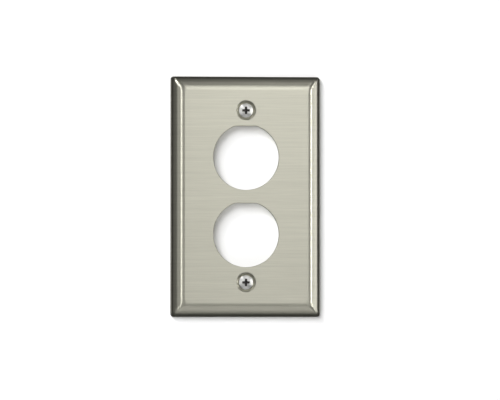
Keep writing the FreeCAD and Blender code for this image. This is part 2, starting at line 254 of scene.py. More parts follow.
def dimple_rings(mesh, height):
    """Rings from the face over the dimple's lip, down its cone, through the hole and up its back."""
    slope_turn = math.radians(90 - CONE_HALF_ANGLE)

    def ring_at(grow, y):
        return circle_loop(mesh, height, DIMPLE_RADIUS + grow, y, DIMPLE_STEPS)

    rings = lip_rings(mesh, ring_at, DIMPLE_LIP, slope_turn, DIMPLE_LIP_STEPS)
    cone_end = (DIMPLE_RADIUS - SCREW_HOLE) / CONE_SLOPE
    hole_end = cone_end + DIMPLE_LAND
    offset = SHEET / math.cos(math.radians(CONE_HALF_ANGLE))
    back_reach = BOSS_FILLET * math.tan(slope_turn / 2)
    boss_root = DIMPLE_RADIUS - SHEET * CONE_SLOPE + offset
    boss_end = DIMPLE_RADIUS - hole_end * CONE_SLOPE + offset
    down = [
        (DIMPLE_RADIUS - CONE_TOP * CONE_SLOPE, CONE_TOP),
        (SCREW_HOLE + HOLE_ROUNDING, cone_end - HOLE_ROUNDING / CONE_SLOPE),
        (SCREW_HOLE + HOLE_ROUNDING / 4, cone_end - HOLE_ROUNDING / 6),
        (SCREW_HOLE, cone_end + HOLE_ROUNDING / 2),
        (SCREW_HOLE, hole_end - HOLE_BURR),
        (SCREW_HOLE + HOLE_BURR, hole_end),
        (boss_end - BOSS_EDGE, hole_end),
        (boss_end, hole_end - BOSS_EDGE),
    ]
    for radius, depth in down:
        rings.append(circle_loop(mesh, height, radius, FACE_Y + depth, DIMPLE_STEPS))
    back_y = FACE_Y + SHEET
    for i in range(BOSS_STEPS + 1):
        angle = slope_turn * (1 - i / BOSS_STEPS)
        radius = boss_root + back_reach - BOSS_FILLET * math.sin(angle)
        y = back_y + BOSS_FILLET * (1 - math.cos(angle))
        rings.append(circle_loop(mesh, height, radius, y, DIMPLE_STEPS))
    last_radius = boss_root + back_reach + SUPPORT
    rings.append(circle_loop(mesh, height, last_radius, back_y, DIMPLE_STEPS))
    return rings


def make_plate():
    """Both skins of the sheet, joined round its sheared rim, its ports and its screw holes."""
    mesh = bmesh.new()
    front = border_rings(mesh, 0, SHEAR_CHAMFER)
    back = border_rings(mesh, SHEET, SHEAR_CHAMFER)
    wall = SHEET / math.sin(WALL_ANGLE)
    rim = []
    for into in (SHEAR_CHAMFER, wall - SHEAR_CHAMFER):
        half_x, half_z = PLATE_HALF_WIDTH - into, PLATE_HALF_HEIGHT - into
        rim.append(rounded_loop(mesh, half_x, half_z, CORNER_RADIUS - into, RIM_Y))
    skin(mesh, [back[0], rim[1], rim[0], front[0]])
    skin(mesh, front)
    skin(mesh, back)
    front_openings, back_openings = [], []
    back_y = FACE_Y + SHEET
    for height in PORT_HEIGHTS:

        def ring_at(grow, y):
            return port_loop(mesh, height, grow, y)

        lip = lip_rings(mesh, ring_at, LIP_RADIUS, math.pi / 2, LIP_STEPS)
        lip.append(ring_at(0, back_y - SHEAR_CHAMFER))
        lip.append(ring_at(SHEAR_CHAMFER, back_y))
        lip.append(ring_at(SHEAR_CHAMFER + SUPPORT, back_y))
        skin(mesh, lip)
        front_openings.append(lip[0])
        back_openings.append(lip[-1])
    for height in (SCREW_HEIGHT, -SCREW_HEIGHT):
        rings = dimple_rings(mesh, height)
        skin(mesh, rings)
        front_openings.append(rings[0])
        back_openings.append(rings[-1])
    fill_flat(mesh, [front[-1]] + front_openings)
    fill_flat(mesh, [back[-1]] + back_openings)
    map_upright(mesh)
    return finish_mesh(mesh, "face_plate_skin", sharp=50)


plate = make_plate()


# Brushing, an effect that both metals share: fine straight scratches along X of a given vector.
def brushing_group():
    """Puts out two masks from 0 to 1, Fine and Broad; Across and Along are streaks per unit."""
    group = bpy.data.node_groups.new("brushing", "ShaderNodeTree")
    group.interface.new_socket(name="Vector", in_out="INPUT", socket_type="NodeSocketVector")
    for name in ("Across", "Along"):
        group.interface.new_socket(name=name, in_out="INPUT", socket_type="NodeSocketFloat")
    for name in ("Fine", "Broad"):
        group.interface.new_socket(name=name, in_out="OUTPUT", socket_type="NodeSocketFloat")
    nodes, links = group.nodes, group.links
    entry, leave = nodes.new("NodeGroupInput"), nodes.new("NodeGroupOutput")
    for label, share in (("Fine", 1.0), ("Broad", 0.3)):
        stretch = nodes.new("ShaderNodeCombineXYZ")
        for rate, axes in (("Along", "X"), ("Across", "YZ")):
            scale = nodes.new("ShaderNodeMath")
            scale.operation = "MULTIPLY"
            scale.inputs[1].default_value = share
            links.new(entry.outputs[rate], scale.inputs[0])
            for axis in axes:
                links.new(scale.outputs[0], stretch.inputs[axis])
        place = nodes.new("ShaderNodeVectorMath")
        place.operation = "MULTIPLY"
        links.new(entry.outputs["Vector"], place.inputs[0])
        links.new(stretch.outputs[0], place.inputs[1])
        noise = nodes.new("ShaderNodeTexNoise")
        noise.inputs["Scale"].default_value = 1.0
        noise.inputs["Detail"].default_value = 3.0
        noise.inputs["Roughness"].default_value = 0.6
        links.new(place.outputs[0], noise.inputs["Vector"])
        links.new(noise.outputs["Fac"], leave.inputs[label])
    return group


brushing = brushing_group()


def new_material(name):
    """A new node material: gives back the material, its nodes, its links and its Principled shader."""
    material = bpy.data.materials.new(name)
    material.use_nodes = True
    nodes, links = material.node_tree.nodes, material.node_tree.links
    return material, nodes, links, nodes["Principled BSDF"]


def colours(nodes, links, source, stops):
    """A colour ramp fed by source; stops are (place, colour) pairs."""
    node = nodes.new("ShaderNodeValToRGB")
    elements = node.color_ramp.elements
    while len(elements) < len(stops):
        elements.new(0.5)
    for element, (place, colour) in zip(elements, stops):
        element.position = place
        element.color = (*colour, 1)
    links.new(source, node.inputs["Fac"])
    return node.outputs["Color"]


def span(nodes, links, source, low, high, source_low=0.0, source_high=1.0):
    """Maps a value from one range on to another."""
    node = nodes.new("ShaderNodeMapRange")
    node.inputs["From Min"].default_value = source_low
    node.inputs["From Max"].default_value = source_high
    node.inputs["To Min"].default_value = low
    node.inputs["To Max"].default_value = high
    links.new(source, node.inputs["Value"])
    return node.outputs["Result"]


def blend(nodes, links, first, second, share):
    """first * (1 - share) + second * share."""
    node = nodes.new("ShaderNodeMix")
    node.inputs["Factor"].default_value = share
    links.new(first, node.inputs["A"])
    links.new(second, node.inputs["B"])
    return node.outputs["Result"]


def noise_over(nodes, links, place, scale, detail=3.0, stretch=(1, 1, 1)):
    """Noise over a vector, which may be stretched; puts out 0 to 1."""
    mapping = nodes.new("ShaderNodeMapping")
    mapping.inputs["Scale"].default_value = stretch
    links.new(place, mapping.inputs["Vector"])
    noise = nodes.new("ShaderNodeTexNoise")
    noise.inputs["Scale"].default_value = scale
    noise.inputs["Detail"].default_value = detail
    links.new(mapping.outputs["Vector"], noise.inputs["Vector"])
    return noise.outputs["Fac"]


def relief(nodes, links, shader, height, depth, strength=1.0):
    """Bump of a depth in metres on the shader's normal."""
    node = nodes.new("ShaderNodeBump")
    node.inputs["Strength"].default_value = strength
    node.inputs["Distance"].default_value = depth
    links.new(height, node.inputs["Height"])
    links.new(node.outputs["Normal"], shader.inputs["Normal"])


def plate_finish():
    """Stainless steel brushed across the plate: gloss spreads over the strokes, not along them."""
    material, nodes, links, shader = new_material("plate_steel")
    place = nodes.new("ShaderNodeTexCoord").outputs["Object"]
    strokes = nodes.new("ShaderNodeGroup")
    strokes.node_tree = brushing
    strokes.inputs["Across"].default_value = 3600.0
    strokes.inputs["Along"].default_value = 60.0
    flattened = nodes.new("ShaderNodeMapping")
    flattened.inputs["Scale"].default_value = (1, 0, 1)
    links.new(place, flattened.inputs["Vector"])
    links.new(flattened.outputs["Vector"], strokes.inputs["Vector"])
    mask = blend(nodes, links, strokes.outputs["Fine"], strokes.outputs["Broad"], 0.5)
    stops = [(0.34, (0.590, 0.579, 0.486)), (0.66, (0.688, 0.675, 0.568))]
    links.new(colours(nodes, links, mask, stops), shader.inputs["Base Color"])
    handling = noise_over(nodes, links, place, scale=55.0)
    worn = blend(nodes, links, mask, handling, 0.35)
    dullness = span(nodes, links, worn, low=0.28, high=0.3, source_low=0.3, source_high=0.7)
    links.new(dullness, shader.inputs["Roughness"])
    relief(nodes, links, shader, mask, 0.0004 * MM)
    shader.inputs["Metallic"].default_value = 1.0
    shader.inputs["Anisotropic"].default_value = 0.8
    strokes_run = nodes.new("ShaderNodeTangent")
    strokes_run.direction_type = "UV_MAP"
    strokes_run.uv_map = "upright"
    links.new(strokes_run.outputs["Tangent"], shader.inputs["Tangent"])
    return material


plate.data.materials.append(plate_finish())
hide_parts("face_plate")
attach(plate, "plate")

# ---- Rear gasket ----
# A ring of black closed-cell foam, moulded to fill the hollow margin behind the bevel. It is stuck to
# the sheet and stands 0.3 mm behind the plate's rim, so the wall squeezes it when the screws are tight.

gasket_low, gasket_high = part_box("rear_gasket")
GASKET_INSET = SHEET + 0.1 * MM
GASKET_PROUD = gasket_high.y - RIM_Y
OPENING_HALF_WIDTH = 27.0 * MM
OPENING_HALF_HEIGHT = 49.0 * MM
OPENING_CORNER = 3.0 * MM
FOAM_EDGE = 0.35 * MM
FOAM_INNER_CORNER = 0.3 * MM
FOAM_BACK_CORNER = 0.4 * MM


def quarter_round(radius, steps=4):
    """Pairs (along, across) round a quarter circle from (0, radius) to (radius, 0)."""
    turns = [math.radians(90) * i / steps for i in range(steps + 1)]
    return [(radius * math.sin(a), radius * math.cos(a)) for a in turns]


def make_gasket():
    """A closed ring of foam whose outside follows the hollow behind the border."""
    mesh = bmesh.new()
    section = border_section(GASKET_INSET, FOAM_EDGE - GASKET_PROUD)
    rings = []
    for into, up in section:
        corner = max(CORNER_RADIUS - GASKET_INSET - into * INNER_TIGHTENING, FOAM_INNER_CORNER)
        half_x, half_z = PLATE_HALF_WIDTH - into, PLATE_HALF_HEIGHT - into
        rings.append(rounded_loop(mesh, half_x, half_z, corner, RIM_Y - up))
    wall = []
    for along, across in quarter_round(FOAM_EDGE):
        wall.append((FOAM_EDGE - along, gasket_low.y + FOAM_EDGE - across))
    for along, across in reversed(quarter_round(FOAM_EDGE)):
        wall.append((FOAM_EDGE - along, gasket_high.y - FOAM_EDGE + across))
    for out, y in wall:
        half_x, half_z = OPENING_HALF_WIDTH + out, OPENING_HALF_HEIGHT + out
        rings.append(rounded_loop(mesh, half_x, half_z, OPENING_CORNER + out, y))
    for along, across in quarter_round(FOAM_EDGE)[:-1]:
        into = section[0][0] + FOAM_EDGE - along
        half_x, half_z = PLATE_HALF_WIDTH - into, PLATE_HALF_HEIGHT - into
        y = gasket_high.y - FOAM_EDGE + across
        rings.append(rounded_loop(mesh, half_x, half_z, FOAM_BACK_CORNER, y))
    skin(mesh, rings + [rings[0]])
    return finish_mesh(mesh, "rear_gasket_foam", sharp=60)


def foam_finish():
    """Black foam: small cut cells all over, with a few large ones, and grey dust in them."""
    material, nodes, links, shader = new_material("gasket_foam")
    place = nodes.new("ShaderNodeTexCoord").outputs["Object"]
    cells = []
    for scale in (2600.0, 900.0):
        cell = nodes.new("ShaderNodeTexVoronoi")
        cell.inputs["Scale"].default_value = scale
        links.new(place, cell.inputs["Vector"])
        cells.append(cell.outputs["Distance"])
    pores = blend(nodes, links, cells[0], cells[1], 0.4)
    dust = noise_over(nodes, links, place, scale=180.0)
    shade = blend(nodes, links, pores, dust, 0.5)
    stops = [(0.25, (0.010, 0.010, 0.011)), (0.6, (0.032, 0.032, 0.034))]
    links.new(colours(nodes, links, shade, stops), shader.inputs["Base Color"])
    links.new(span(nodes, links, dust, low=0.78, high=0.95), shader.inputs["Roughness"])
    relief(nodes, links, shader, pores, 0.12 * MM)
    return material


gasket = make_gasket()
gasket.data.materials.append(foam_finish())
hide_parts("rear_gasket")
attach(gasket, "plate")

# ---- Captive washers ----
# One on each screw behind its dimple, punched from red vulcanised fibre 0.8 mm thick. It grips the
# thread and keeps the screw in the plate when the plate is off the wall.

WASHER_BORE = 1.82 * MM
WASHER_EDGE = 0.1 * MM
WASHER_BURR = 0.03 * MM
RING_STEPS = 64


def ring_piece(name, height, profile, sharp):
    """A solid ring round a screw's axis; profile is its closed section, as (radius, y)."""
    mesh = bmesh.new()
    rings = [circle_loop(mesh, height, radius, y, RING_STEPS) for radius, y in profile]
    skin(mesh, rings + [rings[0]])
    return finish_mesh(mesh, name, sharp)


def washer_profile(low, high):
    """Section of a punched washer: edges round where the punch went in, square where it came out."""
    outer, inner = (high.x - low.x) / 2, WASHER_BORE
    front, back = low.y, high.y
    profile = []
    for along, across in quarter_round(WASHER_EDGE):
        profile.append((outer - WASHER_EDGE + along, front + WASHER_EDGE - across))
    profile += [(outer, back - WASHER_BURR), (outer - WASHER_BURR, back)]
    profile += [(inner + WASHER_BURR, back), (inner, back - WASHER_BURR)]
    for along, across in quarter_round(WASHER_EDGE):
        profile.append((inner + WASHER_EDGE - across, front + WASHER_EDGE - along))
    return profile


def fibre_finish():
    """Red-brown fibre board: long felted fibres on the faces, fine layers on the cut edge."""
    material, nodes, links, shader = new_material("retainer_fibre")
    place = nodes.new("ShaderNodeTexCoord").outputs["Object"]
    felt = noise_over(nodes, links, place, scale=900.0, detail=4.0, stretch=(1, 6, 0.3))
    cross = noise_over(nodes, links, place, scale=900.0, detail=4.0, stretch=(0.3, 6, 1))
    fibres = blend(nodes, links, felt, cross, 0.5)
    stops = [(0.35, (0.20, 0.035, 0.022)), (0.65, (0.36, 0.085, 0.05))]
    links.new(colours(nodes, links, fibres, stops), shader.inputs["Base Color"])
    links.new(span(nodes, links, fibres, low=0.55, high=0.8), shader.inputs["Roughness"])
    relief(nodes, links, shader, fibres, 0.03 * MM)
    return material


fibre = fibre_finish()
for end in ("upper", "lower"):
    low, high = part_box("retainer_" + end)
    height = (low.z + high.z) / 2
    washer = ring_piece("captive_washer_" + end, height, washer_profile(low, high), sharp=35)
    washer.data.materials.append(fibre)
    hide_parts("retainer_" + end)
    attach(washer, "plate")

# ---- Seals ----
# A moulded rubber ring under each screw's head, which keeps water out of the screw hole. The mould's
# parting line runs round it as a thin ridge of flash, inside and outside.

FLASH = 0.02 * MM
SEAL_STEPS = 32


def seal_profile(low, high):
    """Round section, a touch smaller than the ring's own, so that the ridges of flash fit in it."""
    section = (high.y - low.y) / 2
    middle = (high.x - low.x) / 2 - section
    middle_y = (low.y + high.y) / 2
    profile = []
    for i in range(SEAL_STEPS):
        angle = math.tau * i / SEAL_STEPS
        ridge = FLASH if i in (0, SEAL_STEPS // 2) else 0
        radius = section - FLASH + ridge
        profile.append((middle + radius * math.cos(angle), middle_y + radius * math.sin(angle)))
    return profile


def rubber_finish():
    """Black rubber, a little grey with talc, with a fine moulded grain."""
    material, nodes, links, shader = new_material("seal_rubber")
    place = nodes.new("ShaderNodeTexCoord").outputs["Object"]
    talc = noise_over(nodes, links, place, scale=700.0, detail=4.0)
    grain = noise_over(nodes, links, place, scale=9000.0, detail=2.0)
    stops = [(0.4, (0.012, 0.012, 0.013)), (0.75, (0.05, 0.05, 0.05))]
    links.new(colours(nodes, links, talc, stops), shader.inputs["Base Color"])
    links.new(span(nodes, links, talc, low=0.4, high=0.7), shader.inputs["Roughness"])
    relief(nodes, links, shader, grain, 0.01 * MM)
    return material


rubber = rubber_finish()
for end in ("upper", "lower"):
    low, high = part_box("seal_" + end)
    height = (low.z + high.z) / 2
    seal = ring_piece("seal_ring_" + end, height, seal_profile(low, high), sharp=60)
    seal.data.materials.append(rubber)
    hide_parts("seal_" + end)
    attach(seal, end + "_seal")

# ---- Screws ----
# Two 6-32 oval-head machine screws of stainless wire. The head and its cross recess are struck cold,
# the head is turned bright, and the thread is rolled, so its crests stand proud of the bare neck.

HEAD_RADIUS = 3.5 * MM
HEAD_RISE = 0.6 * MM
HEAD_BAND = 0.42 * MM
HEAD_CONE = 0.4 * MM
DOME_RADIUS = (HEAD_RADIUS**2 + HEAD_RISE**2) / (2 * HEAD_RISE)
DOME_STEPS = 16
RIM_BREAK = 0.05 * MM
NECK_RADIUS = 1.52 * MM
NECK_FILLET = 0.15 * MM
THREAD_PITCH = 25.4 / 32 * MM
CREST_RADIUS = 1.75 * MM
ROOT_RADIUS = 1.263 * MM
POINT_RADIUS = 1.15 * MM
POINT_RISE = 0.04 * MM
THREAD_START = -1.21 * MM
CREST_PLACE = 1 / 16
RIDGE_HALF_WIDTH = 7 / 16
FLANK_WIDTH = 3 / 8
WELD_DISTANCE = 0.001 * MM
AROUND = 48
ROWS_PER_PITCH = 8
RECESS_SPAN = 1.95 * MM
RECESS_WING = 0.6 * MM
RECESS_DEPTH = 1.1 * MM
RECESS_END = 1.8 * MM
RECESS_SHADE = 0.35 * MM
RECESS_CORNER = 0.22 * MM
RECESS_TIP = 0.12 * MM
RECESS_CORNER_STEPS = 4


def thread_tree():
    """Geometry Nodes that roll a right-hand thread along +Y and weld it to neck and point."""
    tree = bpy.data.node_groups.new("rolled_thread", "GeometryNodeTree")
    tree.interface.new_socket(name="Geometry", in_out="INPUT", socket_type="NodeSocketGeometry")
    radii = ("Crest Radius", "Root Radius", "Neck Radius", "Point Radius")
    for name in ("Pitch", *radii, "Start", "Length", "Height"):
        tree.interface.new_socket(name=name, in_out="INPUT", socket_type="NodeSocketFloat")
    for name in ("Around", "Rows"):
        tree.interface.new_socket(name=name, in_out="INPUT", socket_type="NodeSocketInt")
    tree.interface.new_socket(name="Material", in_out="INPUT", socket_type="NodeSocketMaterial")
    tree.interface.new_socket(name="Geometry", in_out="OUTPUT", socket_type="NodeSocketGeometry")
    nodes, links = tree.nodes, tree.links
    entry, leave = nodes.new("NodeGroupInput"), nodes.new("NodeGroupOutput")
    given = entry.outputs

    def calc(operation, *values, clamp=False):
        """A Math node over sockets and plain numbers."""
        node = nodes.new("ShaderNodeMath")
        node.operation = operation
        node.use_clamp = clamp
        for socket, value in zip(node.inputs, values):
            if isinstance(value, (int, float)):
                socket.default_value = value
            else:
                links.new(value, socket)
        return node.outputs[0]

    grid = nodes.new("GeometryNodeMeshGrid")
    grid.inputs["Size X"].default_value = 1.0
    grid.inputs["Size Y"].default_value = 1.0
    links.new(calc("ADD", given["Around"], 1), grid.inputs["Vertices X"])
    links.new(given["Rows"], grid.inputs["Vertices Y"])
    spot = nodes.new("ShaderNodeSeparateXYZ")
    links.new(nodes.new("GeometryNodeInputPosition").outputs[0], spot.inputs[0])
    turn = calc("ADD", spot.outputs["X"], 0.5)
    row = calc("MULTIPLY", calc("ADD", spot.outputs["Y"], 0.5), calc("SUBTRACT", given["Rows"], 1))
    row = calc("ROUND", row)
    pitches = calc("DIVIDE", row, ROWS_PER_PITCH)
    along = calc("MULTIPLY", calc("SUBTRACT", pitches, turn), given["Pitch"])
    along = calc("MINIMUM", calc("MAXIMUM", along, 0.0), given["Length"])
    off_crest = calc("ABSOLUTE", calc("SUBTRACT", calc("FRACT", pitches), CREST_PLACE))
    off_crest = calc("MINIMUM", off_crest, calc("SUBTRACT", 1.0, off_crest))
    ridge = calc("SUBTRACT", RIDGE_HALF_WIDTH, off_crest)
    ridge = calc("DIVIDE", ridge, FLANK_WIDTH, clamp=True)
    depth = calc("SUBTRACT", given["Crest Radius"], given["Root Radius"])
    rolled = calc("MULTIPLY_ADD", ridge, depth, given["Root Radius"])
    fade = calc("DIVIDE", along, given["Pitch"], clamp=True)
    over_neck = calc("SUBTRACT", rolled, given["Neck Radius"])
    radius = calc("MULTIPLY_ADD", over_neck, fade, given["Neck Radius"])
    point = calc("ADD", calc("SUBTRACT", given["Length"], along), given["Point Radius"])
    radius = calc("MINIMUM", radius, point)
    angle = calc("MULTIPLY", turn, math.tau)
    placed = nodes.new("ShaderNodeCombineXYZ")
    links.new(calc("MULTIPLY", calc("COSINE", angle), radius), placed.inputs["X"])
    links.new(calc("ADD", along, given["Start"]), placed.inputs["Y"])
    up = calc("MULTIPLY_ADD", calc("SINE", angle), radius, given["Height"])
    links.new(up, placed.inputs["Z"])
    wind = nodes.new("GeometryNodeSetPosition")
    links.new(grid.outputs["Mesh"], wind.inputs["Geometry"])
    links.new(placed.outputs[0], wind.inputs["Position"])
    join = nodes.new("GeometryNodeJoinGeometry")
    links.new(wind.outputs["Geometry"], join.inputs["Geometry"])
    links.new(given["Geometry"], join.inputs["Geometry"])
    weld = nodes.new("GeometryNodeMergeByDistance")
    weld.inputs["Distance"].default_value = WELD_DISTANCE
    links.new(join.outputs["Geometry"], weld.inputs["Geometry"])
    realize = nodes.new("GeometryNodeRealizeInstances")
    links.new(weld.outputs["Geometry"], realize.inputs["Geometry"])
    paint = nodes.new("GeometryNodeSetMaterial")
    links.new(realize.outputs["Geometry"], paint.inputs["Geometry"])
    links.new(given["Material"], paint.inputs["Material"])
    links.new(paint.outputs["Geometry"], leave.inputs["Geometry"])
    return tree


def close_with_fan(mesh, ring, y, height):
    """Closes a ring of vertices with triangles to a point on the screw's axis."""
    middle = mesh.verts.new((0, y, height))
    for i in range(len(ring)):
        mesh.faces.new((ring[i], ring[(i + 1) % len(ring)], middle))


def dome_depth(radius):
    """How far the head's domed top lies behind its crown, at a radius from the axis."""
    return DOME_RADIUS - math.sqrt(max(DOME_RADIUS**2 - radius**2, 0))


def turned_blank(name, height, crown_y, tip_y):
    """The screw's head and neck, and the flat of its point; the thread goes between them."""
    mesh = bmesh.new()
    shoulder_y = crown_y + HEAD_RISE
    base_y = shoulder_y + HEAD_BAND + HEAD_CONE
    base_radius = HEAD_RADIUS - HEAD_CONE * CONE_SLOPE
    profile = []
    for i in range(1, DOME_STEPS + 1):
        radius = (HEAD_RADIUS - RIM_BREAK) * i / DOME_STEPS
        profile.append((radius, crown_y + dome_depth(radius)))
    profile += [
        (HEAD_RADIUS, shoulder_y + RIM_BREAK / 2),
        (HEAD_RADIUS, shoulder_y + HEAD_BAND),
        (base_radius, base_y - RIM_BREAK),
        (base_radius - RIM_BREAK, base_y),
    ]
    for along, across in quarter_round(NECK_FILLET):
        profile.append((NECK_RADIUS + NECK_FILLET - along, base_y + NECK_FILLET - across))
    profile.append((NECK_RADIUS, THREAD_START))
    rings = [circle_loop(mesh, height, radius, y, AROUND) for radius, y in profile]
    skin(mesh, rings)
    close_with_fan(mesh, rings[0], crown_y, height)
    shares = (1.0, 0.92, 0.3)
    point = [circle_loop(mesh, height, POINT_RADIUS * share, tip_y, AROUND) for share in shares]
    skin(mesh, point)
    close_with_fan(mesh, point[-1], tip_y - POINT_RISE, height)
    return finish_mesh(mesh, name)


def cross_loop(mesh, height, reach, wing, y):
    """A ring of vertices round a four-winged cross, with rounded inner corners and broken tips."""
    bevel = RECESS_TIP * 0.6
    centre = wing + RECESS_CORNER
    quarter = [(reach, wing - RECESS_TIP), (reach - bevel, wing)]
    for i in range(RECESS_CORNER_STEPS + 1):
        angle = math.radians(270 - 90 * i / RECESS_CORNER_STEPS)
        x, z = centre + RECESS_CORNER * math.cos(angle), centre + RECESS_CORNER * math.sin(angle)
        quarter.append((x, z))
    quarter += [(wing, reach - bevel), (wing - RECESS_TIP, reach)]
    ring = []
    for turn in range(4):
        for x, z in quarter:
            for _ in range(turn):
                x, z = -z, x
            ring.append(mesh.verts.new((x, y, height + z)))
    return ring


def recess_punch(height, crown_y):
    """The shape that the heading punch leaves: a cross that narrows inwards, over a pointed core."""
    mesh = bmesh.new()
    # height over the crown, reach of a wing, half a wing's width
    levels = [
        (0.5 * MM, RECESS_SPAN + 0.16 * MM, RECESS_WING + 0.05 * MM),
        (0, RECESS_SPAN, RECESS_WING),
        (-RECESS_DEPTH * 0.6, RECESS_SPAN * 0.86, RECESS_WING * 0.84),
        (-RECESS_DEPTH, RECESS_SPAN * 0.62, RECESS_WING * 0.74),
    ]
    rings = [cross_loop(mesh, height, reach, wing, crown_y - up) for up, reach, wing in levels]
    skin(mesh, rings)
    close_with_fan(mesh, rings[0], crown_y - levels[0][0], height)
    close_with_fan(mesh, rings[-1], crown_y + RECESS_END, height)
    return finish_mesh(mesh, "recess_punch")


def map_round(data, height, crown_y, per_metre=100):
    """Gives a screw its UV map and a mark of how deep each point lies in the recess, from 0 to 1.

    u is the turn about the screw's axis, v the way out over the head and back along the shank.
    """
    mesh = bmesh.new()
    mesh.from_mesh(data)
    bmesh.ops.remove_doubles(mesh, verts=mesh.verts[:], dist=0.0005 * MM)
    bmesh.ops.recalc_face_normals(mesh, faces=mesh.faces[:])
    layer = mesh.loops.layers.uv.new("round")
    for face in mesh.faces:
        middle = face.calc_center_median()
        bearing = math.atan2(middle.z - height, middle.x)
        for loop in face.loops:
            x, y, z = loop.vert.co.x, loop.vert.co.y, loop.vert.co.z - height
            turn = math.atan2(z, x) if math.hypot(x, z) > 0.01 * MM else bearing
            turn += math.tau * round((bearing - turn) / math.tau)
            loop[layer].uv = (turn / math.tau, (math.hypot(x, z) + y) * per_metre)
    # Only the recess is marked, for its painted shade: its vertices are known by how far out and how far
    # down they lie.
    sunk = mesh.verts.layers.float.new("sunk")
    for vertex in mesh.verts:
        radius = math.hypot(vertex.co.x, vertex.co.z - height)
        under_crown = vertex.co.y - crown_y
        in_core = radius < NECK_RADIUS - 0.05 * MM and under_crown < RECESS_END + 0.1 * MM
        in_wings = radius < RECESS_SPAN + 0.2 * MM and under_crown < RECESS_DEPTH + 0.05 * MM
        depth = under_crown - dome_depth(radius)
        vertex[sunk] = min(depth / RECESS_SHADE, 1.0) if in_core or in_wings else 0.0
    mesh.to_mesh(data)
    mesh.free()


def bright_finish():
    """Turned stainless steel: rings from the tool, narrow gloss, knocks, and painted shade that darkens
    the recess the deeper it lies.
    """
    material, nodes, links, shader = new_material("screw_steel")
    surface = nodes.new("ShaderNodeUVMap")
    surface.uv_map = "round"
    place = nodes.new("ShaderNodeTexCoord").outputs["Object"]
    rings = nodes.new("ShaderNodeGroup")
    rings.node_tree = brushing
    rings.inputs["Across"].default_value = 160.0
    rings.inputs["Along"].default_value = 2.0
    links.new(surface.outputs["UV"], rings.inputs["Vector"])
    mask = blend(nodes, links, rings.outputs["Fine"], rings.outputs["Broad"], 0.5)
    knocks = noise_over(nodes, links, place, scale=1400.0, detail=4.0)
    worn = blend(nodes, links, mask, knocks, 0.45)
    stops = [(0.3, (0.84, 0.835, 0.80)), (0.7, (0.95, 0.945, 0.92))]
    bright = colours(nodes, links, worn, stops)
    # Painted shade: the deeper a point lies in the recess, the more its colour turns to a dark grey.
    deep = nodes.new("ShaderNodeAttribute")
    deep.attribute_name = "sunk"
    painted_recess_shade = nodes.new("ShaderNodeMix")
    painted_recess_shade.data_type = "RGBA"
    clean_colour, painted_shade_colour = [socket for socket in painted_recess_shade.inputs if socket.type == "RGBA"]
    mixed_colour = [socket for socket in painted_recess_shade.outputs if socket.type == "RGBA"][0]
    links.new(deep.outputs["Fac"], painted_recess_shade.inputs["Factor"])
    links.new(bright, clean_colour)
    # The dark grey of the recess's painted shade.
    painted_shade_colour.default_value = (0.17, 0.16, 0.15, 1)
    links.new(mixed_colour, shader.inputs["Base Color"])
    gloss = span(nodes, links, worn, low=0.3, high=0.4, source_low=0.3, source_high=0.7)
    rough = nodes.new("ShaderNodeMath")
    rough.operation = "MULTIPLY_ADD"
    rough.inputs[1].default_value = 0.25
    links.new(deep.outputs["Fac"], rough.inputs[0])
    links.new(gloss, rough.inputs[2])
    links.new(rough.outputs[0], shader.inputs["Roughness"])
    relief(nodes, links, shader, worn, 0.003 * MM)
    shader.inputs["Metallic"].default_value = 1.0
    shader.inputs["Anisotropic"].default_value = 0.75
    tangent = nodes.new("ShaderNodeTangent")
    tangent.direction_type = "UV_MAP"
    tangent.uv_map = "round"
    links.new(tangent.outputs["Tangent"], shader.inputs["Tangent"])
    shader.inputs["Anisotropic Rotation"].default_value = 0.25
    return material


def socket_of(tree, name):
    """The identifier of a tree's input, under which a modifier keeps its value."""
    for item in tree.interface.items_tree:
        if item.name == name and item.in_out == "INPUT":
            return item.identifier


def make_screw(end, tree, material):
    """A blank with its thread rolled and its recess struck, as one closed mesh."""
    low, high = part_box("screw_" + end)
    height = (low.z + high.z) / 2
    blank = turned_blank("screw_blank", height, low.y, high.y)
    length = high.y - THREAD_START
    rows = math.ceil((length / THREAD_PITCH + 1) * ROWS_PER_PITCH) + 1
    values = {
        "Pitch": THREAD_PITCH, "Crest Radius": CREST_RADIUS, "Root Radius": ROOT_RADIUS,
        "Neck Radius": NECK_RADIUS, "Point Radius": POINT_RADIUS, "Start": THREAD_START,
        "Length": length, "Height": height, "Around": AROUND, "Rows": rows, "Material": material,
    }
    rolling = blank.modifiers.new("thread", "NODES")
    rolling.node_group = tree
    for name, value in values.items():
        rolling[socket_of(tree, name)] = value
    punch = recess_punch(height, low.y)
    heading = blank.modifiers.new("recess", "BOOLEAN")
    heading.operation = "DIFFERENCE"
    heading.solver = "EXACT"
    heading.object = punch
    shaped = blank.evaluated_get(bpy.context.evaluated_depsgraph_get())
    data = bpy.data.meshes.new_from_object(shaped)
    blank.modifiers.clear()
    for spare in (blank, punch):
        bpy.data.objects.remove(spare)
    data.name = "oval_screw_" + end
    map_round(data, height, low.y)
    data.shade_smooth()
    data.set_sharp_from_angle(angle=math.radians(28))
    data.materials.clear()
    data.materials.append(material)
    screw = bpy.data.objects.new("oval_screw_" + end, data)
    scene.collection.objects.link(screw)
    return screw


rolled_thread = thread_tree()
bright_steel = bright_finish()
for end in ("upper", "lower"):
    screw = make_screw(end, rolled_thread, bright_steel)
    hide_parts("screw_" + end)
    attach(screw, end + "_screw")

# ---- Backdrop, floor, lights and camera ----
# A white wall board close behind the plate, see-through from behind, and a pale floor well below it.
# Softboxes stand round the plate. Steel, wall and floor are each lit by their own lamps, so that the
# steel's reflections and the wall's soft shadows are set apart from each other.


def stage_sheet(name, corners):
    """A flat sheet of the stage, which is no part of the object."""
    data = bpy.data.meshes.new(name)
    data.from_pydata(corners, [], [tuple(range(len(corners)))])
    sheet = bpy.data.objects.new(name, data)
    scene.collection.objects.link(sheet)
    return sheet


